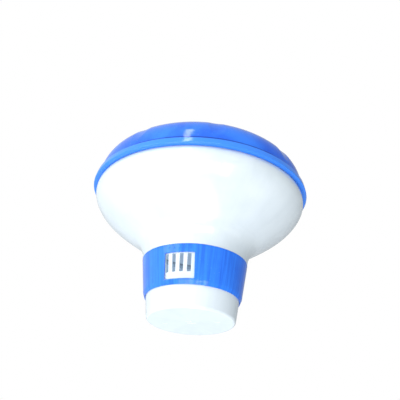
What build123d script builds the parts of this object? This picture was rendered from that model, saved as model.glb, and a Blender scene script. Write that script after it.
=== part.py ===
from build123d import *
import math
import os

# Floating chlorine dispenser, in millimetres, +Z up.
# Origin: centre of the tablet basket's flat bottom, on which the dispenser stands.
# The adjustable windows face -Y and +Y.

# ---------------------------------------------------------------- driving dimensions
# the standard 3 inch tablet that the basket and chamber are made for
tablet_radius = 38.1
tablet_gap_in_basket = 0.2      # all round, at the basket's floor
tablet_gap_in_tube = 2.5        # all round

# tablet basket
basket_height = 53.0            # flat bottom to the shoulder that carries the ring
basket_taper = 0.115            # radius lost per millimetre downwards
basket_wall = 1.8
basket_floor = 2.4
basket_edge_radius = 2.6
basket_floor_fillet = 1.4
spigot_step = 1.9               # spigot that plugs into the neck, inside the shoulder
spigot_wall = 1.9
spigot_height = 13.5
shoulder_web = 2.0
rib_height = 1.6
rib_width = 1.8
rib_inner_radius = 9.0
rib_outer_radius = 33.0
rib_count = 6
gate_recess_radius = 4.6
gate_recess_depth = 0.6
gate_nub_radius = 1.2
gate_nub_height = 0.4
ejector_mark_radius = 2.7
ejector_mark_offset = 24.0
ejector_mark_depth = 0.25

# slots through the basket wall, one grille behind each window
slot_count = 4
slot_width = 3.5
slot_height = 16.7
slot_bottom_rise = 6.8          # above the window's lower edge
slot_pitch_angle = 8.9
grille_turn = -2.5              # grille centre, seen from the window centre at rest

# regulator ring
ring_wall = 1.75
ring_clearance = 0.3            # all round between ring and basket, and above and below
ring_height = 35.2
ring_chamfer_height = 3.6
ring_lip_thickness = 0.7
ring_flange_thickness = 1.7
ring_flange_clearance = 0.4
window_width = 27.0
window_height = 23.7
window_bottom_rise = 4.5        # above the ring's lower edge
window_corner_radius = 0.8
tick_height = 0.35
tick_width = 0.9
tick_length = 2.6
tick_count = 5
tick_pitch_angle = 6.0

# stops that limit the ring's turn
stop_width_angle = 7.0
stop_open_turn = 2.5            # from rest to the fully open stop
stop_closed_turn = 36.0         # from rest to the closed stop
stop_end_gap_angle = 0.6
stop_radial_gap = 0.35

# neck and bowl of the float; rises are counted from the neck's lower edge
neck_straight = 1.2
neck_sweep_radius = 23.5
bowl_cone_angle = 32.0
bowl_wall = 2.2
bowl_rim_radius = 96.6
bowl_rim_rise = 68.9
bowl_bulge = 1.7                # widest circle, outside the rim
bowl_widest_rise = 65.2
bowl_shoulder_inset = 3.9       # point under the bulge, inside the rim
bowl_shoulder_rise = 48.7
bowl_waist_share = 0.424        # place of the waist between neck and rim
bowl_waist_rise = 32.1
bowl_rim_height = 4.9
bowl_rim_direction = (-0.66, 0.75)
neck_lip_thickness = 5.2
seat_plate_thickness = 2.2
seat_plate_gap = 0.3            # spigot top to seat plate
bayonet_lug_width_angle = 14.0
bayonet_notch_width_angle = 20.0
bayonet_count = 3
bayonet_lug_thickness = 2.5
bayonet_lug_reach = 2.3
bayonet_notch_gap = 0.2

# tablet chamber tube
tube_wall = 2.0
tube_socket_gap = 0.2
tube_socket_wall = 1.8
tube_socket_height = 6.0
tube_flange_thickness = 2.0
seal_thickness = 1.5
seal_inset = 0.2

# top cover
cover_wall = 2.6
skirt_reach = 4.8               # outside the foot of the dome
skirt_height = 6.0
skirt_drop = 0.1                # below the turn of the bowl's rim
skirt_draft = 1.5               # the skirt's top edge, inside its bottom edge
skirt_edge_radius = 0.9
skirt_top_edge_radius = 1.6
skirt_gap = 0.3
dome_foot_lip = 0.3             # foot of the dome, outside the rim channel
dome_foot_rise = 0.2            # above the channel's roof
dome_foot_handle = 14.4
dome_shoulder_handle = 9.7
dome_shoulder_share = 0.4545     # place of the shoulder between crown and foot
dome_shoulder_rise = 28.1
dome_shoulder_slope = 27.0
crown_land = 2.0                # flat ring between the seat's wall and the crown's curve
seat_depth = 3.6
seat_gap = 1.0                  # all round the cap
collar_gap = 1.8                # collar's bore, outside the chamber tube
collar_height = 11.6
tongue_wall = 2.0
tongue_depth = 5.7
channel_roof_thickness = 2.5
rim_seal_section_radius = 1.3

# finger scallops round the shoulder of the dome
scallop_count = 8
scallop_phase = 24.0            # first scallop, from the front window towards +X
scallop_floor_radius = 40.2
scallop_cut_radius = 62.0
scallop_centre_inset = 19.5     # inside the dome's shoulder circle
scallop_centre_drop = 7.4       # below the foot of the dome
scallop_sweep_angle = 80.0      # cutter's sweep, up from the horizontal

# child-resistant cap
ledge_width_angle = 50.0
ledge_reach = 2.1
ledge_thickness = 2.0
ledge_below_seat = 2.5
cap_lug_width_angle = 36.0
cap_lug_thickness = 2.5
cap_lug_gap = 0.3
cap_lock_turn = 40.0
cap_stop_width_angle = 3.0
cap_stop_margin_angle = 1.5
cap_stop_drop = 3.5
plug_gap = 0.4                  # between the plug and the ledges' tips
plug_wall = 2.0
plug_depth = 9.5
gasket_inset = 0.5              # gasket's bore, outside the collar's bore
gasket_width = 4.3
gasket_thickness = 1.5
gasket_cover = 0.8              # plug's plate beyond the gasket
plug_plate_thickness = 2.0
plug_rim_width = 3.0
plug_rim_lift = 1.4
plug_rim_thickness = 1.2
cap_wall = 2.8
cap_skirt_clearance = 0.6
cap_push_travel = 1.0
cap_top_thickness = 2.2
cap_crown_rise = 1.1
cap_edge_radius = 1.6
snap_bead_reach = 2.4
snap_bead_thickness = 1.1
spring_width = 5.5
spring_inset = 4.0              # spring's outer edge, inside the plug's plate
spring_thickness = 0.5
spring_finger_count = 12
spring_slit_width = 1.6
tooth_count = 12
tooth_length = 8.0
tooth_inset = 7.9               # teeth's outer ends, inside the plug's skirt
tooth_width_angle = 8.0
tooth_height = 0.7
cap_flute_count = 24
cap_flute_radius = 4.0
cap_flute_depth = 1.2
mark_height = 0.6

# ---------------------------------------------------------------- derived places
front_angle = -90.0
back_angle = 90.0


basket_bore_at_floor = tablet_radius + tablet_gap_in_basket
basket_top_radius = basket_bore_at_floor + basket_wall + basket_taper * (basket_height - basket_floor)
spigot_radius = basket_top_radius - spigot_step


def basket_radius(z):
    """Outside radius of the basket's cone at height z."""
    return basket_top_radius - basket_taper * (basket_height - z)


def ring_bore(z):
    """Inside radius of the regulator ring at height z."""
    return basket_radius(z) + ring_clearance


neck_bottom_z = basket_height + ring_flange_thickness + 2 * ring_clearance
ring_top_z = neck_bottom_z - ring_clearance
ring_bottom_z = ring_top_z - ring_height
window_bottom_z = ring_bottom_z + window_bottom_rise
slot_bottom_z = window_bottom_z + slot_bottom_rise
neck_radius = ring_bore(ring_top_z) + ring_wall
neck_lip_top_z = neck_bottom_z + neck_lip_thickness
spigot_top_z = basket_height + spigot_height
seat_plate_z = spigot_top_z + seat_plate_gap
tube_seat_z = seat_plate_z + seat_plate_thickness
tube_bottom_z = tube_seat_z + seal_thickness
tube_bore_radius = tablet_radius + tablet_gap_in_tube
tube_outer_radius = tube_bore_radius + tube_wall
bowl_rim_z = neck_bottom_z + bowl_rim_rise
bowl_rim_top_z = bowl_rim_z + bowl_rim_height

channel_roof_z = bowl_rim_top_z + 2 * rim_seal_section_radius
channel_outer_radius = bowl_rim_radius + skirt_gap
tongue_outer_radius = bowl_rim_radius - bowl_wall - seal_inset
tongue_inner_radius = tongue_outer_radius - tongue_wall
dome_radius = channel_outer_radius + dome_foot_lip
skirt_radius = dome_radius + skirt_reach
skirt_bottom_z = bowl_rim_z - skirt_drop
dome_start_z = channel_roof_z + dome_foot_rise
dome_shoulder_z = dome_start_z + dome_shoulder_rise
scallop_centre_z = dome_start_z - scallop_centre_drop

collar_radius = tube_outer_radius + collar_gap
tube_flange_radius = collar_radius + cover_wall - seal_inset
plug_radius = collar_radius - ledge_reach - plug_gap
gasket_inner_radius = collar_radius + gasket_inset
gasket_outer_radius = gasket_inner_radius + gasket_width
plug_plate_radius = gasket_outer_radius + gasket_cover
plug_rim_radius = plug_plate_radius + plug_rim_width
cap_bore_radius = plug_rim_radius + cap_skirt_clearance
cap_radius = cap_bore_radius + cap_wall
spring_outer_radius = plug_plate_radius - spring_inset
spring_inner_radius = spring_outer_radius - spring_width
tooth_outer_radius = plug_radius - tooth_inset
tooth_inner_radius = tooth_outer_radius - tooth_length
seat_radius = cap_radius + seat_gap
crown_radius = seat_radius + cover_wall + crown_land
dome_shoulder_radius = crown_radius + dome_shoulder_share * (dome_radius - crown_radius)
scallop_centre_radius = dome_shoulder_radius - scallop_centre_inset

crown_arc_radius = (dome_shoulder_radius - crown_radius) / math.sin(math.radians(dome_shoulder_slope))
crown_z = dome_shoulder_z + crown_arc_radius * (1 - math.cos(math.radians(dome_shoulder_slope)))
seat_z = crown_z - seat_depth
collar_bottom_z = seat_z - collar_height
tube_flange_top_z = collar_bottom_z - seal_thickness

ledge_top_z = seat_z - ledge_below_seat
ledge_bottom_z = ledge_top_z - ledge_thickness
cap_lug_top_z = ledge_bottom_z - cap_lug_gap
plate_bottom_z = seat_z + gasket_thickness
plate_top_z = plate_bottom_z + plug_plate_thickness
rim_bottom_z = plate_bottom_z + plug_rim_lift
rim_top_z = rim_bottom_z + plug_rim_thickness
cap_underside_z = plate_top_z + 2 * cap_push_travel
cap_bottom_z = plate_bottom_z
cap_edge_top_z = cap_underside_z + cap_top_thickness - cap_crown_rise
cap_top_z = cap_underside_z + cap_top_thickness


def sector(inner, outer, centre_angle, width_angle):
    """Ring-sector face, from its two radii, its mid angle and its width."""
    start = centre_angle - width_angle / 2
    with BuildLine(Plane.XY) as outline:
        near = CenterArc((0, 0), inner, start, width_angle)
        far = CenterArc((0, 0), outer, start, width_angle)
        Line(near @ 0, far @ 0)
        Line(near @ 1, far @ 1)
    return make_face(outline.edges(), mode=Mode.PRIVATE)


def left_of(curve, distance, steps):
    """Points at one distance to the left of a curve, evenly spaced along it."""
    points = []
    for step in range(steps + 1):
        along = curve % (step / steps)
        points.append(curve @ (step / steps) + Vector(-along.Y, along.X) * distance)
    return points


def spread(count, first_angle):
    """Evenly spaced angles round a circle."""
    return [first_angle + 360.0 / count * step for step in range(count)]


def save(piece, name):
    """Label a finished piece and write it as its own STEP file."""
    piece.part.label = name
    export_step(piece.part, f"parts/{name}.step")


os.makedirs("parts", exist_ok=True)

# ---------------------------------------------------------------- tablet basket
grille_first_angle = grille_turn - slot_pitch_angle * (slot_count - 1) / 2
grille_angles = [grille_first_angle + slot_pitch_angle * step for step in range(slot_count)]
inner_shoulder_z = basket_height - shoulder_web
lug_base_z = neck_lip_top_z
lug_radius = spigot_radius + bayonet_lug_reach
stop_inner_radius = spigot_radius - spigot_wall / 2
stop_outer_radius = basket_radius(basket_height) - stop_radial_gap
stop_angles = [0.0, 180.0]

with BuildPart() as tablet_basket:
    with BuildSketch(Plane.XZ) as basket_section:
        with BuildLine():
            Polyline(
                (0, 0),
                (basket_radius(0), 0),
                (basket_top_radius, basket_height),
                (spigot_radius, basket_height),
                (spigot_radius, spigot_top_z),
                (spigot_radius - spigot_wall, spigot_top_z),
                (spigot_radius - spigot_wall, inner_shoulder_z),
                (basket_radius(inner_shoulder_z) - basket_wall, inner_shoulder_z),
                (basket_radius(basket_floor) - basket_wall, basket_floor),
                (0, basket_floor),
                close=True,
            )
        make_face()
        foot_corner = basket_section.vertices().group_by(Axis.Y)[0].sort_by(Axis.X)[-1]
        fillet(foot_corner, radius=basket_edge_radius)
        floor_corner = basket_section.vertices().filter_by_position(
            Axis.Y, basket_floor - 0.01, basket_floor + 0.01
        ).sort_by(Axis.X)[-1]
        fillet(floor_corner, radius=basket_floor_fillet)
    revolve(axis=Axis.Z)

    # bayonet lugs that lock the basket into the neck
    with BuildSketch(Plane.XY.offset(lug_base_z)):
        for angle in spread(bayonet_count, 0):
            add(sector(spigot_radius - spigot_wall / 2, lug_radius, angle, bayonet_lug_width_angle))
    extrude(amount=bayonet_lug_thickness)

    # stop blocks for the regulator ring
    with BuildSketch(Plane.XY.offset(basket_height)):
        for angle in stop_angles:
            add(sector(stop_inner_radius, stop_outer_radius, angle, stop_width_angle))
    extrude(amount=ring_flange_thickness)

    # ribs that keep the tablets off the floor
    with Locations((0, 0, basket_floor)):
        with PolarLocations((rib_inner_radius + rib_outer_radius) / 2, rib_count, start_angle=30):
            Box(
                rib_outer_radius - rib_inner_radius,
                rib_width,
                rib_height,
                align=(Align.CENTER, Align.CENTER, Align.MIN),
            )

    # dosing slots, in line with the front and back windows
    for side_angle in (front_angle, back_angle):
        for angle in grille_angles:
            with Locations((0, 0, slot_bottom_z)):
                with PolarLocations(basket_top_radius, 1, start_angle=side_angle + angle):
                    Box(
                        8 * basket_wall,
                        slot_width,
                        slot_height,
                        align=(Align.CENTER, Align.CENTER, Align.MIN),
                        mode=Mode.SUBTRACT,
                    )

    # moulding gate and ejector marks underneath
    Cylinder(
        gate_recess_radius,
        gate_recess_depth,
        align=(Align.CENTER, Align.CENTER, Align.MIN),
        mode=Mode.SUBTRACT,
    )
    with Locations((0, 0, gate_recess_depth)):
        Cylinder(gate_nub_radius, gate_nub_height, align=(Align.CENTER, Align.CENTER, Align.MAX))
    with Locations((ejector_mark_offset, 0, 0), (-ejector_mark_offset, 0, 0)):
        Cylinder(
            ejector_mark_radius,
            ejector_mark_depth,
            align=(Align.CENTER, Align.CENTER, Align.MIN),
            mode=Mode.SUBTRACT,
        )
save(tablet_basket, "tablet_basket")

# ---------------------------------------------------------------- regulator ring
flange_bottom_z = basket_height + ring_clearance
flange_bore = spigot_radius + ring_flange_clearance
chamfer_top_z = ring_bottom_z + ring_chamfer_height
notch_width_angle = (
    stop_width_angle + stop_open_turn + stop_closed_turn + 2 * stop_end_gap_angle
)
notch_offset = (stop_open_turn - stop_closed_turn) / 2

with BuildPart() as regulator_ring:
    with BuildSketch(Plane.XZ):
        with BuildLine():
            Polyline(
                (ring_bore(ring_bottom_z), ring_bottom_z),
                (ring_bore(ring_bottom_z) + ring_lip_thickness, ring_bottom_z),
                (ring_bore(chamfer_top_z) + ring_wall, chamfer_top_z),
                (ring_bore(ring_top_z) + ring_wall, ring_top_z),
                (flange_bore, ring_top_z),
                (flange_bore, flange_bottom_z),
                (ring_bore(flange_bottom_z), flange_bottom_z),
                close=True,
            )
        make_face()
    revolve(axis=Axis.Z)

    # the two windows, front and back
    with BuildSketch(Plane.XZ):
        with Locations((0, window_bottom_z + window_height / 2)):
            RectangleRounded(window_width, window_height, window_corner_radius)
    extrude(amount=2 * neck_radius, both=True, mode=Mode.SUBTRACT)

    # clearance in the flange for the stop blocks, as long as the ring's turn
    with BuildSketch(Plane.XY.offset(flange_bottom_z)):
        for angle in stop_angles:
            add(
                sector(
                    flange_bore - ring_flange_clearance,
                    ring_bore(flange_bottom_z),
                    angle + notch_offset,
                    notch_width_angle,
                )
            )
    extrude(amount=ring_flange_thickness, mode=Mode.SUBTRACT)

    # raised scale ticks above each window
    tick_z = ring_top_z - tick_length / 2 - 1.2
    tick_span = tick_pitch_angle * (tick_count - 1)
    for side_angle in (front_angle, back_angle):
        with Locations((0, 0, tick_z)):
            with PolarLocations(
                ring_bore(tick_z) + ring_wall - tick_height,
                tick_count,
                start_angle=side_angle - tick_span / 2,
                angular_range=tick_span,
                endpoint=True,
            ):
                Box(4 * tick_height, tick_width, tick_length)
save(regulator_ring, "regulator_ring")

# ---------------------------------------------------------------- float bowl
with BuildPart() as float_bowl:
    with BuildSketch(Plane.XZ):
        with BuildLine():
            neck_line = Line((neck_radius, neck_bottom_z), (neck_radius, neck_bottom_z + neck_straight))
            sweep_arc = JernArc(neck_line @ 1, (0, 1), neck_sweep_radius, bowl_cone_angle - 90)
            waist_radius = (sweep_arc @ 1).X + bowl_waist_share * (bowl_rim_radius - (sweep_arc @ 1).X)
            bowl_line = Spline(
                sweep_arc @ 1,
                (waist_radius, neck_bottom_z + bowl_waist_rise),
                (bowl_rim_radius - bowl_shoulder_inset, neck_bottom_z + bowl_shoulder_rise),
                (bowl_rim_radius + bowl_bulge, neck_bottom_z + bowl_widest_rise),
                (bowl_rim_radius, bowl_rim_z),
                tangents=[sweep_arc % 1, bowl_rim_direction],
            )
            inner_neck = Line(
                (neck_radius - bowl_wall, neck_bottom_z),
                (neck_radius - bowl_wall, neck_bottom_z + neck_straight),
            )
            inner_arc = JernArc(
                inner_neck @ 1, (0, 1), neck_sweep_radius + bowl_wall, bowl_cone_angle - 90
            )
            inner_bowl = Spline(
                *left_of(bowl_line, bowl_wall, 6), tangents=[sweep_arc % 1, bowl_rim_direction]
            )
            Polyline(
                bowl_line @ 1,
                (bowl_rim_radius, bowl_rim_top_z),
                (bowl_rim_radius - bowl_wall, bowl_rim_top_z),
                (bowl_rim_radius - bowl_wall, bowl_rim_z),
                inner_bowl @ 1,
            )
            Line(inner_neck @ 0, neck_line @ 0)
        make_face()
    revolve(axis=Axis.Z)

    # inward lip that the basket's lugs turn on to
    lip_outer_radius = neck_radius - bowl_wall / 2
    with BuildSketch(Plane.XY.offset(neck_bottom_z)):
        Circle(lip_outer_radius)
        Circle(spigot_radius + bayonet_notch_gap, mode=Mode.SUBTRACT)
    extrude(amount=neck_lip_thickness)
    with BuildSketch(Plane.XY.offset(neck_bottom_z)):
        for angle in spread(bayonet_count, 180 / bayonet_count):
            add(
                sector(
                    spigot_radius - bayonet_notch_gap,
                    lug_radius + bayonet_notch_gap,
                    angle,
                    bayonet_notch_width_angle,
                )
            )
    extrude(amount=neck_lip_thickness, mode=Mode.SUBTRACT)

    # plate and socket that carry the chamber tube
    with BuildSketch(Plane.XY.offset(seat_plate_z)):
        Circle(neck_radius + bowl_wall / 2)
        Circle(tube_bore_radius - seal_inset, mode=Mode.SUBTRACT)
    extrude(amount=seat_plate_thickness)
    socket_bore = tube_outer_radius + tube_socket_gap
    with BuildSketch(Plane.XY.offset(tube_seat_z)):
        Circle(socket_bore + tube_socket_wall)
        Circle(socket_bore, mode=Mode.SUBTRACT)
    extrude(amount=tube_socket_height)
save(float_bowl, "float_bowl")

# ---------------------------------------------------------------- chamber tube and its seals
with BuildPart() as chamber_tube:
    with BuildSketch(Plane.XZ):
        with BuildLine():
            Polyline(
                (tube_bore_radius, tube_bottom_z),
                (tube_outer_radius, tube_bottom_z),
                (tube_outer_radius, tube_flange_top_z - tube_flange_thickness),
                (tube_flange_radius, tube_flange_top_z - tube_flange_thickness),
                (tube_flange_radius, tube_flange_top_z),
                (tube_bore_radius, tube_flange_top_z),
                close=True,
            )
        make_face()
    revolve(axis=Axis.Z)
save(chamber_tube, "chamber_tube")

with BuildPart() as lower_tube_seal:
    with BuildSketch(Plane.XY.offset(tube_seat_z)):
        Circle(tube_outer_radius)
        Circle(tube_bore_radius, mode=Mode.SUBTRACT)
    extrude(amount=seal_thickness)
save(lower_tube_seal, "lower_tube_seal")

with BuildPart() as upper_tube_seal:
    with BuildSketch(Plane.XY.offset(tube_flange_top_z)):
        Circle(tube_flange_radius)
        Circle(collar_radius, mode=Mode.SUBTRACT)
    extrude(amount=seal_thickness)
save(upper_tube_seal, "upper_tube_seal")

# ---------------------------------------------------------------- top cover
# Torus whose inner tube wall leaves one shallow finger groove, running down the shoulder.
with BuildPart() as scallop_cutter:
    with BuildSketch(Plane.XY.offset(scallop_centre_z)):
        with Locations((scallop_centre_radius + scallop_floor_radius + scallop_cut_radius, 0)):
            Circle(scallop_cut_radius)
    revolve(
        axis=Axis((scallop_centre_radius, 0, scallop_centre_z), (0, -1, 0)),
        revolution_arc=scallop_sweep_angle,
    )

dome_tangent = (
    -math.cos(math.radians(dome_shoulder_slope)),
    math.sin(math.radians(dome_shoulder_slope)),
)

with BuildPart() as top_cover:
    with BuildSketch(Plane.XZ):
        with BuildLine():
            dome_line = Bezier(
                (dome_radius, dome_start_z),
                (dome_radius, dome_start_z + dome_foot_handle),
                (
                    dome_shoulder_radius - dome_shoulder_handle * dome_tangent[0],
                    dome_shoulder_z - dome_shoulder_handle * dome_tangent[1],
                ),
                (dome_shoulder_radius, dome_shoulder_z),
            )
            crown_arc = JernArc(dome_line @ 1, dome_tangent, crown_arc_radius, dome_shoulder_slope)
            inner_dome = Spline(
                *left_of(dome_line, cover_wall, 6), tangents=[(0, 1), dome_tangent]
            )
            inner_crown = JernArc(
                inner_dome @ 1, dome_tangent, crown_arc_radius - cover_wall, dome_shoulder_slope
            )
            Polyline(
                crown_arc @ 1,
                (seat_radius, crown_z),
                (seat_radius, seat_z),
                (collar_radius, seat_z),
                (collar_radius, collar_bottom_z),
                (collar_radius + cover_wall, collar_bottom_z),
                (collar_radius + cover_wall, seat_z - cover_wall),
                (seat_radius + cover_wall, seat_z - cover_wall),
                (seat_radius + cover_wall, crown_z - cover_wall),
                inner_crown @ 1,
            )
            Line(inner_dome @ 0, dome_line @ 0)
        make_face()
    revolve(axis=Axis.Z)

    # finger scallops, cut before the skirt so that they leave it whole
    for angle in spread(scallop_count, front_angle + scallop_phase):
        with PolarLocations(0, 1, start_angle=angle):
            add(scallop_cutter.part, mode=Mode.SUBTRACT)

    # skirt, the channel that takes the bowl's rim, and the tongue inside it
    with BuildSketch(Plane.XZ) as skirt_section:
        with BuildLine():
            Polyline(
                (channel_outer_radius, skirt_bottom_z),
                (skirt_radius, skirt_bottom_z),
                (skirt_radius - skirt_draft, skirt_bottom_z + skirt_height),
                (dome_radius, dome_start_z),
                (dome_radius - cover_wall / 2, channel_roof_z + channel_roof_thickness),
                (tongue_inner_radius, channel_roof_z + channel_roof_thickness),
                (tongue_inner_radius, channel_roof_z - tongue_depth),
                (tongue_outer_radius, channel_roof_z - tongue_depth),
                (tongue_outer_radius, channel_roof_z),
                (channel_outer_radius, channel_roof_z),
                close=True,
            )
        make_face()
        skirt_corners = skirt_section.vertices().sort_by(Axis.X)[-2:]
        fillet(skirt_corners.sort_by(Axis.Y)[0], radius=skirt_edge_radius)
        top_corner = skirt_section.vertices().filter_by_position(
            Axis.Y, skirt_bottom_z + skirt_height - 0.01, skirt_bottom_z + skirt_height + 0.01
        ).sort_by(Axis.X)[-1]
        fillet(top_corner, radius=skirt_top_edge_radius)
    revolve(axis=Axis.Z)

    # ledges that the cap's lugs turn under, each with a stop at its far end
    with BuildSketch(Plane.XY.offset(ledge_bottom_z)):
        for angle in spread(bayonet_count, front_angle + 180 / bayonet_count):
            add(sector(collar_radius - ledge_reach, collar_radius + cover_wall / 2, angle, ledge_width_angle))
    extrude(amount=ledge_thickness)
    cap_stop_angle = -(
        cap_lock_turn + cap_lug_width_angle / 2 + cap_stop_margin_angle + cap_stop_width_angle / 2
    )
    with BuildSketch(Plane.XY.offset(ledge_bottom_z - cap_stop_drop)):
        for angle in spread(bayonet_count, front_angle + cap_stop_angle):
            add(sector(collar_radius - ledge_reach, collar_radius + cover_wall / 2, angle, cap_stop_width_angle))
    extrude(amount=cap_stop_drop)

    # raised marks beside the cap seat: a bar for locked, a dot for open
    mark_radius = (crown_radius + seat_radius) / 2
    with BuildSketch(Plane.XY.offset(crown_z - mark_height)):
        with PolarLocations(mark_radius, 1, start_angle=front_angle):
            Circle(1.2)
        with PolarLocations(mark_radius, 1, start_angle=front_angle - cap_lock_turn):
            Rectangle(3.0, 1.4)
    extrude(amount=2 * mark_height)
save(top_cover, "top_cover")

with BuildPart() as rim_seal:
    with BuildSketch(Plane.XZ):
        with Locations((bowl_rim_radius - bowl_wall / 2, bowl_rim_top_z + rim_seal_section_radius)):
            Circle(rim_seal_section_radius)
    revolve(axis=Axis.Z)
save(rim_seal, "rim_seal")

# ---------------------------------------------------------------- child-resistant cap
with BuildPart() as cap_gasket:
    with BuildSketch(Plane.XY.offset(seat_z)):
        Circle(gasket_outer_radius)
        Circle(gasket_inner_radius, mode=Mode.SUBTRACT)
    extrude(amount=gasket_thickness)
save(cap_gasket, "cap_gasket")

cap_lug_radius = collar_radius - cap_lug_gap
with BuildPart() as cap_plug:
    with BuildSketch(Plane.XZ):
        with BuildLine():
            Polyline(
                (0, plate_bottom_z),
                (plug_radius - plug_wall, plate_bottom_z),
                (plug_radius - plug_wall, plate_bottom_z - plug_depth),
                (plug_radius, plate_bottom_z - plug_depth),
                (plug_radius, plate_bottom_z),
                (plug_plate_radius, plate_bottom_z),
                (plug_plate_radius, rim_bottom_z),
                (plug_rim_radius, rim_bottom_z),
                (plug_rim_radius, rim_top_z),
                (plug_plate_radius - plug_plate_thickness, rim_top_z),
                (plug_plate_radius - plug_plate_thickness, plate_top_z),
                (0, plate_top_z),
                close=True,
            )
        make_face()
    revolve(axis=Axis.Z)

    # lugs under the cover's ledges
    with BuildSketch(Plane.XY.offset(cap_lug_top_z - cap_lug_thickness)):
        for angle in spread(bayonet_count, front_angle):
            add(sector(plug_radius - plug_wall / 2, cap_lug_radius, angle, cap_lug_width_angle))
    extrude(amount=cap_lug_thickness)

    # drive teeth that the outer cap drops into when it is pushed
    with BuildSketch(Plane.XY.offset(plate_top_z)):
        for angle in spread(tooth_count, front_angle):
            add(sector(tooth_inner_radius, tooth_outer_radius, angle, tooth_width_angle))
    extrude(amount=tooth_height)
save(cap_plug, "cap_plug")

with BuildPart() as cap_spring:
    with BuildSketch(Plane.XZ):
        with BuildLine():
            Polyline(
                (spring_inner_radius, plate_top_z),
                (spring_inner_radius, plate_top_z + spring_thickness),
                (spring_outer_radius, cap_underside_z),
                (spring_outer_radius, cap_underside_z - spring_thickness),
                close=True,
            )
        make_face()
    revolve(axis=Axis.Z)

    # slits that leave fingers joined by the inner hoop
    finger_start = spring_inner_radius + 1.5
    with BuildSketch(Plane.XY.offset(plate_top_z)):
        with PolarLocations((finger_start + spring_outer_radius + 1) / 2, spring_finger_count):
            Rectangle(spring_outer_radius + 1 - finger_start, spring_slit_width)
    extrude(amount=cap_underside_z - plate_top_z, mode=Mode.SUBTRACT)
save(cap_spring, "cap_spring")

with BuildPart() as cap_shell:
    with BuildSketch(Plane.XZ) as cap_section:
        with BuildLine():
            cap_side = Polyline(
                (0, cap_underside_z),
                (cap_bore_radius, cap_underside_z),
                (cap_bore_radius, cap_bottom_z + snap_bead_thickness),
                (cap_bore_radius - snap_bead_reach, cap_bottom_z + snap_bead_thickness),
                (cap_bore_radius - snap_bead_reach, cap_bottom_z),
                (cap_radius, cap_bottom_z),
                (cap_radius, cap_edge_top_z),
            )
            crown_sagitta = cap_top_z - cap_edge_top_z
            crown_sphere = (cap_radius**2 + crown_sagitta**2) / (2 * crown_sagitta)
            mid_radius = cap_radius / 2
            mid_z = cap_top_z - crown_sphere + math.sqrt(crown_sphere**2 - mid_radius**2)
            ThreePointArc((cap_radius, cap_edge_top_z), (mid_radius, mid_z), (0, cap_top_z))
            Line((0, cap_top_z), (0, cap_underside_z))
        make_face()
        edge_corner = cap_section.vertices().filter_by_position(
            Axis.X, cap_radius - 0.01, cap_radius + 0.01
        ).sort_by(Axis.Y)[-1]
        fillet(edge_corner, radius=cap_edge_radius)
    revolve(axis=Axis.Z)

    # drive teeth, half a pitch round from those on the plug
    with BuildSketch(Plane.XY.offset(cap_underside_z - tooth_height)):
        for angle in spread(tooth_count, front_angle + 180 / tooth_count):
            add(sector(tooth_inner_radius, tooth_outer_radius, angle, tooth_width_angle))
    extrude(amount=tooth_height)

    # grip flutes round the edge
    with BuildSketch(Plane.XY.offset(cap_bottom_z)):
        with PolarLocations(cap_radius + cap_flute_radius - cap_flute_depth, cap_flute_count):
            Circle(cap_flute_radius)
    extrude(amount=cap_top_z - cap_bottom_z, mode=Mode.SUBTRACT)

    # raised pointer towards the marks on the cover
    with BuildSketch(Plane.XY.offset(cap_edge_top_z - mark_height)):
        with Locations((0, -(cap_radius - 9.0))):
            Triangle(a=8.0, b=8.0, c=8.0, rotation=180)
    extrude(amount=cap_crown_rise + mark_height)
save(cap_shell, "cap_shell")
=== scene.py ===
"""Looks of a floating chlorine dispenser: its plastics, rubber, spring steel and studio.

Everything is in metres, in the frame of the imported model, which stands on z = 0.
"""

from __future__ import annotations

import logging
import math
from dataclasses import dataclass, field
from enum import Enum
from typing import Iterable, Union

import bmesh
import bpy
from mathutils import Matrix, Quaternion, Vector

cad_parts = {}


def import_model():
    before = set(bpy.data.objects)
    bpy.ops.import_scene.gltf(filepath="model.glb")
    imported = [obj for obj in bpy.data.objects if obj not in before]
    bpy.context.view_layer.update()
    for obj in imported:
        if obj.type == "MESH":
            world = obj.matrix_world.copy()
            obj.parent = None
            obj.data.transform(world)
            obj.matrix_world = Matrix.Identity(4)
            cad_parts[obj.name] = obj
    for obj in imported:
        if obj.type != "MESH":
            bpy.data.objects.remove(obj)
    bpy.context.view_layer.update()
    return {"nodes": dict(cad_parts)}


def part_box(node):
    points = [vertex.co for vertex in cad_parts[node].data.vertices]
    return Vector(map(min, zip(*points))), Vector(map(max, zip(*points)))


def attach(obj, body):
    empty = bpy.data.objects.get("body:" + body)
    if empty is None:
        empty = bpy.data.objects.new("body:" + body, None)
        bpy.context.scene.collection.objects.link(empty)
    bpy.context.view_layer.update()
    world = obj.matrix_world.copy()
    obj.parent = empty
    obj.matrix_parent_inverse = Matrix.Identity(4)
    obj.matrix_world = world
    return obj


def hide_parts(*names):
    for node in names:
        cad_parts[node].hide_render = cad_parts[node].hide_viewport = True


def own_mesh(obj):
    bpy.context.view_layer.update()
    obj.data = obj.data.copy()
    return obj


LOG = logging.getLogger("dispenser")
MM = 0.001

Colour = tuple[float, float, float, float]
Point = tuple[float, float, float]
Operand = Union["Signal", float, int, tuple]
Finish = Union["MouldedPlastic", "SealRubber", "SpringSteel"]


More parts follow.
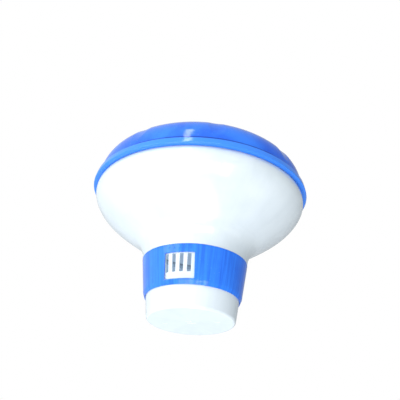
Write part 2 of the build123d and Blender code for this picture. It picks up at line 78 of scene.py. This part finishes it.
# ---------------------------------------------------------------- shader maths
@dataclass(frozen=True)
class Signal:
    """One output of a shader node; Python's operators on it add Math nodes."""

    sheet: "NodeSheet"
    source: bpy.types.Node
    output: str = ""

    @property
    def socket(self) -> bpy.types.NodeSocket:
        """The node socket that this signal stands for."""
        return next(
            s for s in self.source.outputs
            if s.enabled and self.output in ("", s.name, s.identifier)
        )

    def out(self, name: str) -> "Signal":
        """Another output of the same node."""
        return Signal(self.sheet, self.source, name)

    def math(self, operation: str, *values: Operand, clamp: bool = False) -> "Signal":
        """Add one Math node.

        Args:
            operation: Blender's name of the operation.
            values: what goes into its sockets, in order.
            clamp: whether the result is held between 0 and 1.

        Returns:
            The node's result.
        """
        sockets = dict(enumerate(values))
        return self.sheet.node("ShaderNodeMath", {"operation": operation, "use_clamp": clamp}, sockets)

    def __add__(self, other: Operand) -> "Signal":
        """Sum."""
        return self.math("ADD", self, other)

    def __radd__(self, other: Operand) -> "Signal":
        """Sum, reflected."""
        return self.math("ADD", other, self)

    def __sub__(self, other: Operand) -> "Signal":
        """Difference."""
        return self.math("SUBTRACT", self, other)

    def __rsub__(self, other: Operand) -> "Signal":
        """Difference, reflected."""
        return self.math("SUBTRACT", other, self)

    def __mul__(self, other: Operand) -> "Signal":
        """Product."""
        return self.math("MULTIPLY", self, other)

    def __rmul__(self, other: Operand) -> "Signal":
        """Product, reflected."""
        return self.math("MULTIPLY", other, self)

    def __pow__(self, other: Operand) -> "Signal":
        """Power."""
        return self.math("POWER", self, other)

    def clamped(self) -> "Signal":
        """The same value, held between 0 and 1."""
        return self.math("ADD", self, 0.0, clamp=True)


class NodeSheet:
    """A node tree that finishes write their nodes on."""

    def __init__(self, tree: bpy.types.NodeTree) -> None:
        """Take the tree and clear it."""
        self.tree = tree
        tree.nodes.clear()

    def node(
        self,
        kind: str,
        settings: dict[str, object] | None = None,
        sockets: dict[str | int, Operand] | None = None,
        output: str = "",
    ) -> Signal:
        """Add one node.

        Args:
            kind: Blender's type name of the node.
            settings: the node's own settings, set first; "stops" fills a colour ramp.
            sockets: values or links of its inputs, by place, name or identifier.
            output: the output that is wanted, or the first one.

        Returns:
            The wanted output.
        """
        made = self.tree.nodes.new(kind)
        for name, value in (settings or {}).items():
            if name == "stops":
                self._fill_ramp(made.color_ramp, value)
            else:
                setattr(made, name, value)
        for name, value in (sockets or {}).items():
            target = self._input(made, name)
            if isinstance(value, Signal):
                self.tree.links.new(value.socket, target)
            else:
                target.default_value = value
        return Signal(self, made, output)

    @staticmethod
    def _input(made: bpy.types.Node, name: str | int) -> bpy.types.NodeSocket:
        """Find an input of a node.

        Args:
            made: the node.
            name: the input's place, name or identifier.

        Returns:
            The input socket.
        """
        if isinstance(name, int):
            return made.inputs[name]
        return next(s for s in made.inputs if s.enabled and name in (s.name, s.identifier))

    @staticmethod
    def _fill_ramp(ramp: bpy.types.ColorRamp, stops: Iterable[tuple[float, Colour]]) -> None:
        """Give a colour ramp its stops.

        Args:
            ramp: the ramp, which starts with two stops.
            stops: pairs of place and colour, in order.
        """
        for index, (place, colour) in enumerate(stops):
            stop = ramp.elements[index] if index < 2 else ramp.elements.new(place)
            stop.position = place
            stop.color = colour

    def noise(self, where: Signal, scale: float, detail: float = 2.0, rough: float = 0.5) -> Signal:
        """Smooth noise between about 0.2 and 0.8.

        Args:
            where: the coordinates.
            scale: waves per metre.
            detail: octaves.
            rough: strength of each finer octave.

        Returns:
            The noise value.
        """
        sockets = {"Vector": where, "Scale": scale, "Detail": detail, "Roughness": rough}
        return self.node("ShaderNodeTexNoise", {}, sockets, "Fac")

    def mix(self, share: Operand, first: Operand, second: Operand) -> Signal:
        """Blend two colours.

        Args:
            share: 0 gives the first, 1 the second.
            first: a colour.
            second: another colour.

        Returns:
            The blended colour.
        """
        sockets = {"Factor_Float": share, "A_Color": first, "B_Color": second}
        return self.node("ShaderNodeMix", {"data_type": "RGBA"}, sockets, "Result_Color")

    def spread(self, value: Signal, low: float, high: float) -> Signal:
        """Stretch a value so that low becomes 0 and high becomes 1, smoothly.

        Args:
            value: the value.
            low: what becomes 0.
            high: what becomes 1.

        Returns:
            The stretched value.
        """
        settings = {"interpolation_type": "SMOOTHSTEP"}
        sockets = {"Value": value, "From Min": low, "From Max": high}
        return self.node("ShaderNodeMapRange", settings, sockets, "Result")

    def object_place(self) -> Signal:
        """The point on the piece, in the model's frame."""
        return self.node("ShaderNodeTexCoord", {}, {}, "Object")

    def parts(self, place: Signal) -> tuple[Signal, Signal, Signal]:
        """The x, y and z of a point."""
        x = self.node("ShaderNodeSeparateXYZ", {}, {"Vector": place}, "X")
        return x, x.out("Y"), x.out("Z")

    def stretched(self, place: Signal, factors: Point) -> Signal:
        """A point with each coordinate multiplied by its own factor."""
        return self.node("ShaderNodeVectorMath", {"operation": "MULTIPLY"}, {0: place, 1: factors})

    def around(self, place: Signal, turns: float, height: float, depth: float) -> Signal:
        """Coordinates that run round the dispenser's axis.

        Args:
            place: the point, in the model's frame.
            turns: how much one radian round the axis counts.
            height: how much one metre of height counts.
            depth: how much one metre of radius counts.

        Returns:
            The coordinates.
        """
        x, y, z = self.parts(place)
        angle = x.math("ARCTAN2", y, x)
        radius = (x * x + y * y) ** 0.5
        sockets = {"X": angle * turns, "Y": z * height, "Z": radius * depth}
        return self.node("ShaderNodeCombineXYZ", {}, sockets)

    def bump(self, height: Signal, depth: float, under: Signal | None = None) -> Signal:
        """Bend the surface's normal by a height pattern.

        Args:
            height: the pattern.
            depth: the height in metres that a value of 1 stands for.
            under: a normal that is bent already, if there is one.

        Returns:
            The bent normal.
        """
        sockets = {"Height": height, "Distance": depth, "Strength": 1.0}
        if under is not None:
            sockets["Normal"] = under
        return self.node("ShaderNodeBump", {}, sockets, "Normal")

    def surface(self, shader: Signal) -> None:
        """Send a shader to the material's output."""
        self.node("ShaderNodeOutputMaterial", {}, {"Surface": shader})


# ---------------------------------------------------------------- finishes
class Slot(Enum):
    """The record's material slots."""

    WHITE = "white_plastic"
    BLUE = "blue_plastic"
    RUBBER = "seal_rubber"
    STEEL = "spring_steel"


@dataclass(frozen=True)
class MouldedPlastic:
    """Glossy injection-moulded plastic, with uneven pigment, flow marks, ripple and handling marks."""

    name: str
    slot: Slot
    pigment: Colour
    thin_pigment: Colour
    scuff_colour: Colour
    ior: float = 1.49
    roughness: float = 0.16
    roughness_spread: float = 0.06
    scuff_roughness: float = 0.22
    coat: float = 0.25
    coat_roughness: float = 0.06
    gloss: float = 0.5
    cloud_scale: float = 34.0
    flow_turns: float = 9.0
    flow_height: float = 14.0
    flow_depth: float = 10.0
    flow_share: float = 0.35
    uneven_low: float = 0.34
    uneven_high: float = 0.66
    scuff_share: float = 0.35
    scuff_turns: tuple[tuple[float, float], ...] = ((0.6, 26.0), (2.1, 34.0))
    scuff_tilt: tuple[float, float] = (0.7, 1.3)
    scuff_fineness: float = 1100.0
    scuff_cut: tuple[float, float] = (0.72, 0.78)
    worn_scale: float = 28.0
    worn_cut: tuple[float, float] = (0.48, 0.62)
    ripple_scale: float = 46.0
    ripple_depth: float = 0.04 * MM
    grain_scale: float = 1500.0
    grain_depth: float = 0.008 * MM
    scuff_groove: float = 1.2
    translucence: float = 0.0
    light_reach: float = 4.0 * MM

    def make(self) -> bpy.types.Material:
        """Build the material.

        Returns:
            The new material.
        """
        material = bpy.data.materials.new(self.name)
        material.use_nodes = True
        sheet = NodeSheet(material.node_tree)
        place = sheet.object_place()
        cloud = sheet.noise(place, self.cloud_scale, 4.0, 0.55)
        scuffs = self._scuffs(sheet, place)
        body = self.body(sheet, place, cloud)
        wear_and_shade_patches = sheet.mix(scuffs * self.scuff_share, body, self.scuff_colour)
        spread = (cloud - 0.5) * self.roughness_spread
        sockets = {
            "Base Color": self.marked(sheet, place, wear_and_shade_patches),
            "Roughness": (self.roughness + spread + scuffs * self.scuff_roughness).clamped(),
            "Normal": self._relief(sheet, place, scuffs),
            "IOR": self.ior,
            "Specular IOR Level": self.gloss,
            "Coat Weight": self.coat,
            "Coat Roughness": self.coat_roughness,
            "Subsurface Weight": self.translucence,
            "Subsurface Radius": (1.0, 1.0, 1.0),
            "Subsurface Scale": self.light_reach,
        }
        sockets.update(self.glow(sheet, place))
        sheet.surface(sheet.node("ShaderNodeBsdfPrincipled", {}, sockets))
        return material

    def body(self, sheet: NodeSheet, place: Signal, cloud: Signal) -> Signal:
        """Pigment that is uneven in clouds and along the flow round the axis.

        Args:
            sheet: where the nodes go.
            place: the point on the piece.
            cloud: the cloud pattern.

        Returns:
            The colour.
        """
        running = sheet.around(place, self.flow_turns, self.flow_height, self.flow_depth)
        flow = sheet.noise(running, 1.0, 3.0, 0.6)
        uneven = (cloud * (1.0 - self.flow_share) + flow * self.flow_share).clamped()
        share = sheet.spread(uneven, self.uneven_low, self.uneven_high)
        return sheet.mix(share, self.pigment, self.thin_pigment)

    def marked(self, sheet: NodeSheet, place: Signal, colour: Signal) -> Signal:
        """The colour with painted shade at fixed places; plain plastic has none."""
        return colour

    def glow(self, sheet: NodeSheet, place: Signal) -> dict[str, Operand]:
        """Sockets for light that the plastic gives off; plain plastic gives off none."""
        return {}

    def _relief(self, sheet: NodeSheet, place: Signal, scuffs: Signal) -> Signal:
        """Wide ripple, fine grain and scratches.

        Args:
            sheet: where the nodes go.
            place: the point on the piece.
            scuffs: the scratches' mask.

        Returns:
            The bent normal.
        """
        ripple = sheet.noise(place, self.ripple_scale, 1.0, 0.4)
        grain = sheet.noise(place, self.grain_scale, 2.0, 0.6) - scuffs * self.scuff_groove
        return sheet.bump(grain, self.grain_depth, under=sheet.bump(ripple, self.ripple_depth))

    def _scuffs(self, sheet: NodeSheet, place: Signal) -> Signal:
        """Fine handling scratches in two directions.

        Args:
            sheet: where the nodes go.
            place: the point on the piece.

        Returns:
            A mask, 1 on a scratch.
        """
        masks = []
        for turn, stretch in self.scuff_turns:
            turned = sheet.node("ShaderNodeVectorRotate", {"rotation_type": "EULER_XYZ"}, {
                "Vector": place,
                "Rotation": (turn, turn * self.scuff_tilt[0], turn * self.scuff_tilt[1]),
            })
            drawn = sheet.stretched(turned, (stretch, self.scuff_fineness, self.scuff_fineness))
            masks.append(sheet.spread(sheet.noise(drawn, 1.0, 1.0, 0.4), *self.scuff_cut))
        wear_and_shade_patches = sheet.spread(sheet.noise(place, self.worn_scale, 2.0, 0.5), *self.worn_cut)
        return ((masks[0] + masks[1]) * wear_and_shade_patches).clamped()


@dataclass(frozen=True)
class CoverPlastic(MouldedPlastic):
    """Plastic of the top cover: its thin skirt is painted paler as painted light shining through it, and
    painted shade darkens the seam above it.
    """

    # painted light: paler colour of the thin skirt, standing in for light shining through the wall
    rim_through_light_colour: Colour = (1.0, 1.0, 1.0, 1.0)
    rim_top: float = 131.6 * MM
    rim_fade: float = 3.0 * MM
    # painted shade: colour and place of the dark line of shade painted into the seam; the geometry has no
    # groove there
    seam_shade_colour: Colour = (0.0, 0.0, 0.0, 1.0)
    seam_height: float = 132.3 * MM
    seam_reach: float = 1.1 * MM
    seam_core: float = 0.45         # share of the reach that is fully dark
    seam_inner_radius: float = 92.2 * MM
    seam_outer_radius: float = 94.2 * MM
    seam_shade: float = 0.75
    # painted shade: noise makes the painted seam shade patchy along the seam
    seam_shade_patch_turns: float = 6.0
    seam_shade_patchiness: tuple[float, float] = (0.6, 0.6)

    def body(self, sheet: NodeSheet, place: Signal, cloud: Signal) -> Signal:
        """Uneven pigment, with the thin skirt painted paler as painted light shining through it.

        Args:
            sheet: where the nodes go.
            place: the point on the piece.
            cloud: the cloud pattern.

        Returns:
            The colour.
        """
        z = sheet.parts(place)[2]
        # painted light: below rim_top the colour blends to the paler skirt colour, standing in for light
        # through the thin wall
        through_lit = sheet.spread(z, self.rim_top, self.rim_top - self.rim_fade)
        return sheet.mix(through_lit, super().body(sheet, place, cloud), self.rim_through_light_colour)

    def marked(self, sheet: NodeSheet, place: Signal, colour: Signal) -> Signal:
        """Paint shade into the seam between skirt and dome.

        Args:
            sheet: where the nodes go.
            place: the point on the piece.
            colour: the colour without the painted seam shade.

        Returns:
            The colour with it.
        """
        x, y, z = sheet.parts(place)
        offset = z - self.seam_height
        away = offset.math("ABSOLUTE", offset)
        line = 1.0 - sheet.spread(away, self.seam_reach * self.seam_core, self.seam_reach)
        radius = (x * x + y * y) ** 0.5
        outer = sheet.spread(radius, self.seam_inner_radius, self.seam_outer_radius)
        along = sheet.around(place, self.seam_shade_patch_turns, 0.0, 0.0)
        # painted shade: noise makes the seam's painted shade patchy along the seam
        wear_and_shade_patches = sheet.noise(along, 1.0, 2.0, 0.5) * self.seam_shade_patchiness[0] + self.seam_shade_patchiness[1]
        return sheet.mix((line * outer * wear_and_shade_patches * self.seam_shade).clamped(), colour, self.seam_shade_colour)


@dataclass(frozen=True)
class ChamberPlastic(MouldedPlastic):
    """White plastic whose inner faces glow with painted light: emission standing in for the daylight that
    comes through the thin walls.
    """

    # painted light: colour of the emission on the inner faces
    inner_light: Colour = (0.115, 0.145, 0.185, 1.0)
    inner_radius: float = 0.0
    inner_taper: float = 0.0
    inner_edge: float = 0.3 * MM
    light_scale: float = 60.0
    light_cloud: tuple[float, float] = (0.4, 0.8)

    def glow(self, sheet: NodeSheet, place: Signal) -> dict[str, Operand]:
        """Sockets for the painted light, an emission, on the inner faces.

        Args:
            sheet: where the nodes go.
            place: the point on the piece.

        Returns:
            The emission's colour, black on outer faces, and its strength.
        """
        x, y, z = sheet.parts(place)
        depth = (z * self.inner_taper + self.inner_radius) - (x * x + y * y) ** 0.5
        inside = sheet.spread(depth, -self.inner_edge, self.inner_edge)
        cloud = sheet.noise(place, self.light_scale, 2.0, 0.5) * self.light_cloud[0] + self.light_cloud[1]
        # painted light: inner faces glow with this emission instead of being lit through the walls
        light = sheet.mix(inside * cloud, (0.0, 0.0, 0.0, 1.0), self.inner_light)
        return {"Emission Color": light, "Emission Strength": 1.0}


@dataclass(frozen=True)
class SealRubber:
    """Matt moulded rubber or silicone with a pale bloom."""

    name: str
    slot: Slot
    body: Colour
    bloom: Colour
    ior: float = 1.52
    roughness: float = 0.62
    roughness_spread: float = 0.2
    bloom_scale: float = 90.0
    bloom_cut: tuple[float, float] = (0.42, 0.75)
    grain_scale: float = 2600.0
    grain_depth: float = 0.03 * MM

    def make(self) -> bpy.types.Material:
        """Build the material.

        Returns:
            The new material.
        """
        material = bpy.data.materials.new(self.name)
        material.use_nodes = True
        sheet = NodeSheet(material.node_tree)
        place = sheet.object_place()
        bloom = sheet.spread(sheet.noise(place, self.bloom_scale, 4.0, 0.6), *self.bloom_cut)
        grain = sheet.noise(place, self.grain_scale, 2.0, 0.6)
        sheet.surface(sheet.node("ShaderNodeBsdfPrincipled", {}, {
            "Base Color": sheet.mix(bloom, self.body, self.bloom),
            "Roughness": (self.roughness + (bloom - 0.5) * self.roughness_spread).clamped(),
            "Normal": sheet.bump(grain, self.grain_depth),
            "IOR": self.ior,
        }))
        return material


@dataclass(frozen=True)
class SpringSteel:
    """Cold-rolled stainless strip with rolling lines."""

    name: str
    slot: Slot
    bright: Colour
    dull: Colour
    roughness: float = 0.24
    line_roughness: float = 0.25
    tarnish_roughness: float = 0.08
    line_stretch: Point = (60.0, 3200.0, 60.0)
    line_depth: float = 0.01 * MM
    tarnish_scale: float = 120.0
    tarnish_cut: tuple[float, float] = (0.45, 0.7)

    def make(self) -> bpy.types.Material:
        """Build the material.

        Returns:
            The new material.
        """
        material = bpy.data.materials.new(self.name)
        material.use_nodes = True
        sheet = NodeSheet(material.node_tree)
        place = sheet.object_place()
        lines = sheet.noise(sheet.stretched(place, self.line_stretch), 1.0, 3.0, 0.6)
        tarnish = sheet.spread(sheet.noise(place, self.tarnish_scale, 3.0, 0.5), *self.tarnish_cut)
        uneven = (lines - 0.5) * self.line_roughness + tarnish * self.tarnish_roughness
        sheet.surface(sheet.node("ShaderNodeBsdfPrincipled", {}, {
            "Base Color": sheet.mix(tarnish, self.bright, self.dull),
            "Metallic": 1.0,
            "Roughness": (self.roughness + uneven).clamped(),
            "Normal": sheet.bump(lines, self.line_depth),
        }))
        return material


WHITE_LOOKS: dict[str, object] = {
    "slot": Slot.WHITE,
    "pigment": (0.655, 0.720, 0.765, 1.0),
    "thin_pigment": (0.700, 0.765, 0.810, 1.0),
    "scuff_colour": (0.50, 0.57, 0.62, 1.0),
    "roughness": 0.14,
    "coat": 0.3,
    "flow_share": 0.3,
    "scuff_share": 0.25,
    "translucence": 0.3,
}
WHITE_SHELL = MouldedPlastic("white_shell_plastic", **WHITE_LOOKS)
WHITE_BASKET = ChamberPlastic(
    "white_basket_plastic", **WHITE_LOOKS, inner_radius=38.8 * MM, inner_taper=0.115
)
WHITE_TUBE = ChamberPlastic("white_tube_plastic", **WHITE_LOOKS, inner_radius=41.6 * MM)

BLUE_LOOKS: dict[str, object] = {
    "slot": Slot.BLUE,
    "scuff_colour": (0.14, 0.34, 0.90, 1.0),
    "roughness": 0.11,
    "coat": 0.12,
    "gloss": 0.30,
    "scuff_share": 0.3,
}
BLUE_DOME_LOOKS: dict[str, object] = {
    "pigment": (0.020, 0.125, 0.72, 1.0),
    "thin_pigment": (0.034, 0.205, 0.86, 1.0),
    "flow_share": 0.15,
}
BLUE_COVER = CoverPlastic(
    "blue_cover_plastic",
    **BLUE_LOOKS,
    **BLUE_DOME_LOOKS,
    # painted light: paler colour painted on the skirt for light shining through it
    rim_through_light_colour=(0.045, 0.245, 0.90, 1.0),
    # painted shade: dark colour painted into the seam between skirt and dome
    seam_shade_colour=(0.004, 0.025, 0.252, 1.0),
)
BLUE_CAP = MouldedPlastic("blue_cap_plastic", **BLUE_LOOKS, **BLUE_DOME_LOOKS)
BLUE_RING = MouldedPlastic(
    "blue_ring_plastic",
    **BLUE_LOOKS,
    pigment=(0.020, 0.140, 0.74, 1.0),
    thin_pigment=(0.034, 0.230, 0.94, 1.0),
    flow_share=0.6,
    flow_turns=17.0,
)
BLACK_SEAL = SealRubber(
    "black_seal_rubber",
    Slot.RUBBER,
    body=(0.018, 0.019, 0.021, 1.0),
    bloom=(0.06, 0.062, 0.066, 1.0),
)
PALE_SEAL = SealRubber(
    "pale_seal_silicone",
    Slot.RUBBER,
    body=(0.42, 0.46, 0.50, 1.0),
    bloom=(0.52, 0.56, 0.60, 1.0),
)
STRIP_STEEL = SpringSteel(
    "spring_strip_steel",
    Slot.STEEL,
    bright=(0.62, 0.62, 0.60, 1.0),
    dull=(0.46, 0.45, 0.43, 1.0),
)


class Wardrobe:
    """Makes each finish once and dresses pieces with it."""

    def __init__(self) -> None:
        """Start with no finish made."""
        self.made: dict[str, bpy.types.Material] = {}

    def dress(self, piece: bpy.types.Object, finish: Finish) -> None:
        """Put one finish on the whole of a piece.

        Args:
            piece: the object.
            finish: its finish.
        """
        if finish.name not in self.made:
            self.made[finish.name] = finish.make()
        piece.data.materials.clear()
        piece.data.materials.append(self.made[finish.name])


# ---------------------------------------------------------------- sub-assemblies
@dataclass
class CarriedNodes:
    """CAD nodes whose shape is right, and which only take a finish."""

    finishes: dict[str, Finish] = field(default_factory=lambda: {
        "float_bowl": WHITE_SHELL,
        "chamber_tube": WHITE_TUBE,
        "tablet_basket": WHITE_BASKET,
        "cap_plug": WHITE_SHELL,
        "top_cover": BLUE_COVER,
        "regulator_ring": BLUE_RING,
        "cap_shell": BLUE_CAP,
        "rim_seal": BLACK_SEAL,
        "upper_tube_seal": PALE_SEAL,
        "lower_tube_seal": PALE_SEAL,
        "cap_gasket": BLACK_SEAL,
    })

    def dress(self, nodes: dict[str, bpy.types.Object], wardrobe: Wardrobe) -> None:
        """Give every CAD node its finish.

        Args:
            nodes: the CAD nodes by name.
            wardrobe: makes and puts on the finishes.
        """
        for name, finish in self.finishes.items():
            wardrobe.dress(nodes[name], finish)
            LOG.info("dressed %s in %s of slot %s", name, finish.name, finish.slot.value)


@dataclass
class FingerSpring:
    """Slotted conical strip spring under the cap, which flattens when the cap is pushed down."""

    fingers: int = 12
    hub_width: float = 1.5 * MM
    width: float = 5.5 * MM
    slit_width: float = 1.6 * MM
    thickness: float = 0.5 * MM
    pushed_share: float = 0.5
    radial_steps: int = 6
    finger_steps: int = 8

    def build(self, wardrobe: Wardrobe) -> bpy.types.Object:
        """Make the spring where the CAD has it, and attach it to the cap's body.

        Args:
            wardrobe: puts on the finish.

        Returns:
            The spring.
        """
        low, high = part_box("cap_spring")
        spring = bpy.data.objects.new("finger_spring", self._mesh(low, high))
        bpy.context.scene.collection.objects.link(spring)
        wardrobe.dress(spring, STRIP_STEEL)
        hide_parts("cap_spring")
        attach(spring, "cap")
        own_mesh(spring)
        LOG.info("built %s with %d fingers", spring.name, self.fingers)
        return spring

    def _mesh(self, low: Vector, high: Vector) -> bpy.types.Mesh:
        """Make the underside as a cone of faces with slits, and give it its thickness.

        Args:
            low: the lowest corner of the spring's box.
            high: its highest corner.

        Returns:
            The closed mesh.
        """
        outer = (high.x - low.x) / 2.0
        inner = outer - self.width
        rise = high.z - low.z - self.thickness
        strip = bmesh.new()
        rings = []
        for radius in self._radii(inner, outer):
            height = low.z + rise * (radius - inner) / self.width
            rings.append([
                strip.verts.new((radius * math.cos(angle), radius * math.sin(angle), height))
                for angle in self._angles(radius)
            ])
        count = len(rings[0])
        for ring, (near, far) in enumerate(zip(rings, rings[1:])):
            for step in range(count):
                over_slit = step % self.finger_steps == self.finger_steps - 1
                if ring > 0 and over_slit:
                    continue
                after = (step + 1) % count
                strip.faces.new((near[step], far[step], far[after], near[after]))
        raised = bmesh.ops.extrude_face_region(strip, geom=list(strip.faces))
        top = [part for part in raised["geom"] if isinstance(part, bmesh.types.BMVert)]
        bmesh.ops.translate(strip, verts=top, vec=(0.0, 0.0, self.thickness))
        bmesh.ops.recalc_face_normals(strip, faces=list(strip.faces))
        mesh = bpy.data.meshes.new("finger_spring")
        strip.to_mesh(mesh)
        strip.free()
        return mesh

    def _radii(self, inner: float, outer: float) -> list[float]:
        """Radii of the rings of points.

        Args:
            inner: the spring's inner radius.
            outer: its outer radius.

        Returns:
            The hub's two edges, then the places along the fingers.
        """
        root = inner + self.hub_width
        steps = self.radial_steps
        return [inner] + [root + (outer - root) * step / steps for step in range(steps + 1)]

    def _angles(self, radius: float) -> list[float]:
        """Angles of one ring's points, with the last two of each finger at its slit's sides.

        Args:
            radius: the ring's radius.

        Returns:
            The angles, counted round the spring.
        """
        pitch = math.tau / self.fingers
        gap = self.slit_width / radius
        finger = pitch - gap
        return [
            turn * pitch + gap / 2.0 + finger * step / (self.finger_steps - 1)
            for turn in range(self.fingers)
            for step in range(self.finger_steps)
        ]


# ---------------------------------------------------------------- studio
@dataclass(frozen=True)
class SoftBox:
    """One rectangular soft light, placed by its direction from the dispenser."""

    name: str
    azimuth: float
    elevation: float
    distance: float
    width: float
    height: float
    watts: float
    roll: float = 0.0

    def build(self, target: Vector) -> bpy.types.Object:
        """Make the light.

        Args:
            target: the point that it faces.

        Returns:
            The light object.
        """
        lamp = bpy.data.lights.new(self.name, "AREA")
        lamp.shape = "RECTANGLE"
        lamp.size = self.width
        lamp.size_y = self.height
        lamp.energy = self.watts
        box = bpy.data.objects.new(self.name, lamp)
        bpy.context.scene.collection.objects.link(box)
        away = towards(self.azimuth, self.elevation)
        box.location = target + away * self.distance
        box.rotation_mode = "QUATERNION"
        turned = Quaternion((0.0, 0.0, 1.0), math.radians(self.roll))
        box.rotation_quaternion = (-away).to_track_quat("-Z", "Y") @ turned
        box.visible_camera = False
        return box


def towards(azimuth: float, elevation: float) -> Vector:
    """Unit vector to a place round the object.

    Args:
        azimuth: degrees round the object from -Y towards +X.
        elevation: degrees above the horizon.

    Returns:
        The vector.
    """
    a, e = math.radians(azimuth), math.radians(elevation)
    return Vector((math.sin(a) * math.cos(e), -math.cos(a) * math.cos(e), math.sin(e)))


@dataclass
class Studio:
    """Pale floor, soft lights and camera."""

    aim_height: float = 0.094
    camera_distance: float = 0.700
    camera_azimuth: float = 17.3
    camera_elevation: float = -25.025
    camera_roll: float = -0.0731
    camera_pitch: float = -0.0356
    camera_yaw: float = 0.0006
    lens: float = 66.74
    sensor_width: float = 36.0
    floor_half_width: float = 6.0
    floor_gap: float = 0.2 * MM
    floor_roughness: float = 0.7
    floor_colour: Colour = (0.92, 0.93, 0.935, 1.0)
    floor_mottle: Colour = (0.95, 0.955, 0.96, 1.0)
    floor_mottle_scale: float = 3.0
    sky_colour: Colour = (0.90, 0.96, 1.0, 1.0)
    sky_seen_colour: Colour = (1.0, 1.0, 1.0, 1.0)
    sky_light: float = 0.70
    sky_seen: float = 1.0
    sky_lean: float = 0.55
    sky_bright_azimuth: float = -60.0
    floor_glow: float = 0.55
    boxes: tuple[SoftBox, ...] = (
        SoftBox("key_box", -36.0, 10.0, 1.6, 1.0, 1.3, 8.5),
        SoftBox("front_strip", -2.4, 44.9, 1.5, 0.15, 1.15, 5.5, roll=5.4),
        SoftBox("right_fill", 96.0, -34.0, 1.6, 0.8, 0.8, 1.5),
        SoftBox("low_window_a", -11.0, -32.0, 1.5, 0.35, 0.80, 2.4),
        SoftBox("low_window_b", 7.5, -32.0, 1.5, 0.42, 0.80, 4.3),
        SoftBox("low_window_c", 25.0, -32.0, 1.5, 0.07, 0.60, 1.2),
        SoftBox("low_window_d", 33.0, -32.0, 1.5, 0.07, 0.60, 1.2),
        SoftBox("low_window_e", 45.0, -32.0, 1.5, 0.26, 0.75, 2.8),
        SoftBox("under_box", -5.0, -80.0, 1.6, 1.0, 1.0, 8.0),
    )

    def build(self) -> None:
        """Make floor, world, lights and camera."""
        target = Vector((0.0, 0.0, self.aim_height))
        self._floor()
        self._world()
        for box in self.boxes:
            box.build(target)
        self._camera(target)
        view = bpy.context.scene.view_settings
        view.view_transform = "Standard"
        view.look = "None"
        view.exposure = 0.0
        view.gamma = 1.0
        LOG.info("studio built with %d soft boxes", len(self.boxes))

    def _floor(self) -> None:
        """Pale floor under the dispenser, which is see-through from below."""
        mesh = bpy.data.meshes.new("pale_floor")
        grid = bmesh.new()
        bmesh.ops.create_grid(grid, x_segments=8, y_segments=8, size=self.floor_half_width)
        grid.to_mesh(mesh)
        grid.free()
        floor = bpy.data.objects.new("pale_floor", mesh)
        bpy.context.scene.collection.objects.link(floor)
        floor.location.z = -self.floor_gap
        floor.visible_shadow = False
        floor.visible_diffuse = False
        floor.visible_glossy = False
        material = bpy.data.materials.new("pale_floor")
        material.use_nodes = True
        sheet = NodeSheet(material.node_tree)
        place = sheet.object_place()
        mottle = sheet.noise(place, self.floor_mottle_scale, 3.0, 0.5)
        colour = sheet.mix(mottle, self.floor_colour, self.floor_mottle)
        solid = sheet.node("ShaderNodeBsdfPrincipled", {}, {
            "Base Color": colour,
            "Roughness": self.floor_roughness,
            "Emission Color": self.floor_colour,
            "Emission Strength": self.floor_glow,
        })
        clear = sheet.node("ShaderNodeBsdfTransparent")
        below = sheet.node("ShaderNodeNewGeometry", {}, {}, "Backfacing")
        sheet.surface(sheet.node("ShaderNodeMixShader", {}, {0: below, 1: solid, 2: clear}))
        mesh.materials.append(material)

    def _world(self) -> None:
        """White surroundings that light softly from everywhere."""
        world = bpy.data.worlds.new("white_room")
        bpy.context.scene.world = world
        world.use_nodes = True
        sheet = NodeSheet(world.node_tree)
        seen = sheet.node("ShaderNodeLightPath", {}, {}, "Is Camera Ray")
        heading = sheet.node("ShaderNodeTexCoord", {}, {}, "Generated")
        bright_side = tuple(towards(self.sky_bright_azimuth, 0.0))
        lean = sheet.node("ShaderNodeVectorMath", {"operation": "DOT_PRODUCT"}, {
            0: heading, 1: bright_side,
        }, "Value")
        light = (lean * self.sky_lean + 1.0) * self.sky_light
        strength = seen * self.sky_seen + (1.0 - seen) * light
        colour = sheet.mix(seen, self.sky_colour, self.sky_seen_colour)
        sockets = {"Color": colour, "Strength": strength}
        glow = sheet.node("ShaderNodeBackground", {}, sockets)
        sheet.node("ShaderNodeOutputWorld", {}, {"Surface": glow})

    def _camera(self, target: Vector) -> None:
        """Camera at the viewing angle.

        Args:
            target: the point that it looks at before its small turns.
        """
        lens = bpy.data.cameras.new("view_camera")
        lens.lens = self.lens
        lens.sensor_width = self.sensor_width
        lens.dof.use_dof = False
        camera = bpy.data.objects.new("view_camera", lens)
        bpy.context.scene.collection.objects.link(camera)
        back = towards(self.camera_azimuth, self.camera_elevation)
        turn = (-back).to_track_quat("-Z", "Y").to_matrix()
        turn = turn @ Matrix.Rotation(-self.camera_yaw, 3, "Y")
        turn = turn @ Matrix.Rotation(-self.camera_pitch, 3, "X")
        turn = turn @ Matrix.Rotation(-self.camera_roll, 3, "Z")
        camera.location = target + back * self.camera_distance
        camera.rotation_mode = "QUATERNION"
        camera.rotation_quaternion = turn.to_quaternion()
        bpy.context.scene.camera = camera


def main() -> None:
    """Build the looks in order."""
    logging.basicConfig(level=logging.INFO, format="%(name)s: %(message)s")
    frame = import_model()
    wardrobe = Wardrobe()
    CarriedNodes().dress(frame["nodes"], wardrobe)
    FingerSpring().build(wardrobe)
    Studio().build()


if __name__ == "__main__":
    main()
